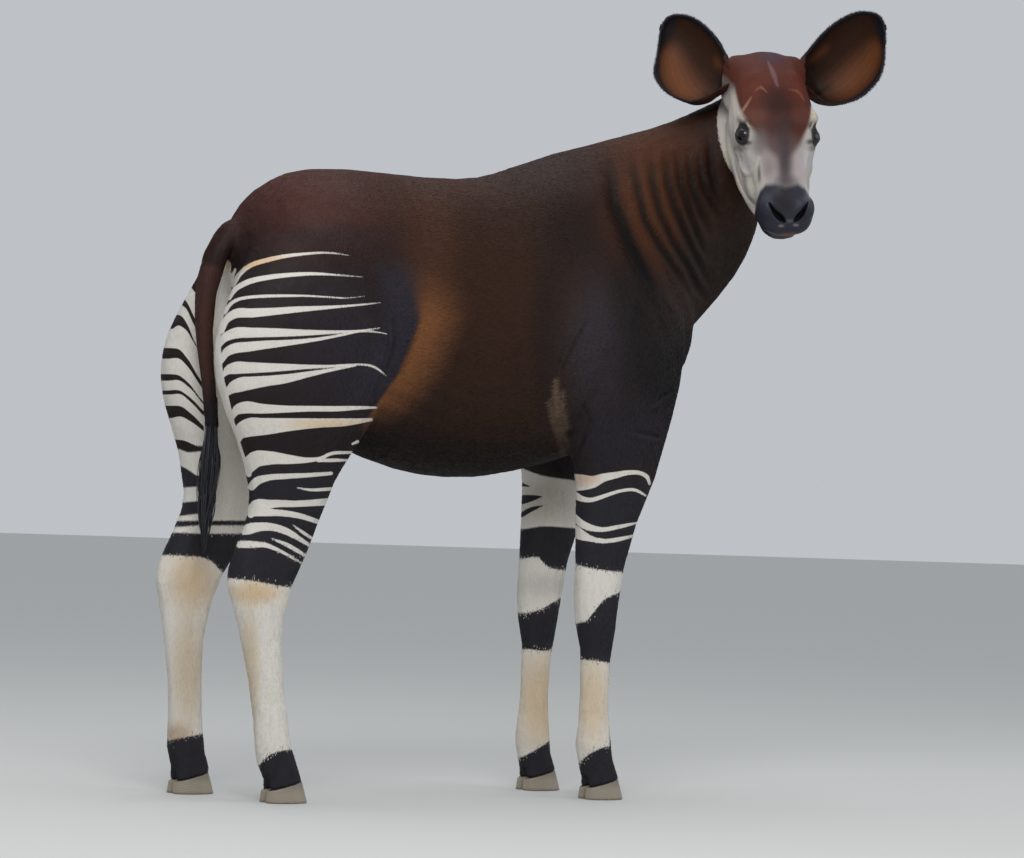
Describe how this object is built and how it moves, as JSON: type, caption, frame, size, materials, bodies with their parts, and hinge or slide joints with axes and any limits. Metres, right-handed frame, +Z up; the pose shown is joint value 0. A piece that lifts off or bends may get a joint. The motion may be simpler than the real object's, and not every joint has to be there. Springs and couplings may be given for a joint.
{
  "type": "okapi",
  "caption": "Standing okapi, head turned back over its shoulder, with cupped ears, striped legs and a tufted tail.",
  "frame": {"origin": "centre of the bounding box in plan, at the level of the hoof soles", "axes": "+X towards the chest, +Y to the animal's left side, +Z up"},
  "size_m": [1.6852, 0.6782, 1.9152],
  "materials": {
    "coat_brown": "short sleek hair",
    "coat_pale": "short pale hair with dark bands",
    "face": "very short hair, bare dark muzzle",
    "ear_hide": "short hair, dark fringed rim",
    "tail_hair": "long glossy hair",
    "eye": "wet",
    "hoof": "worn horn"
  },
  "bodies": {
    "root": {"torso": "coat_brown", "neck": "coat_brown", "head": "face", "ear_left": "ear_hide", "ear_right": "ear_hide", "eye_left": "eye", "eye_right": "eye", "leg_fore_left": "coat_pale", "leg_fore_right": "coat_pale", "leg_hind_left": "coat_pale", "leg_hind_right": "coat_pale", "hoof_fore_left_inner": "hoof", "hoof_fore_left_outer": "hoof", "hoof_fore_right_inner": "hoof", "hoof_fore_right_outer": "hoof", "hoof_hind_left_inner": "hoof", "hoof_hind_left_outer": "hoof", "hoof_hind_right_inner": "hoof", "hoof_hind_right_outer": "hoof", "tail": "coat_brown", "tail_tuft": "tail_hair"}
  },
  "joints": []
}
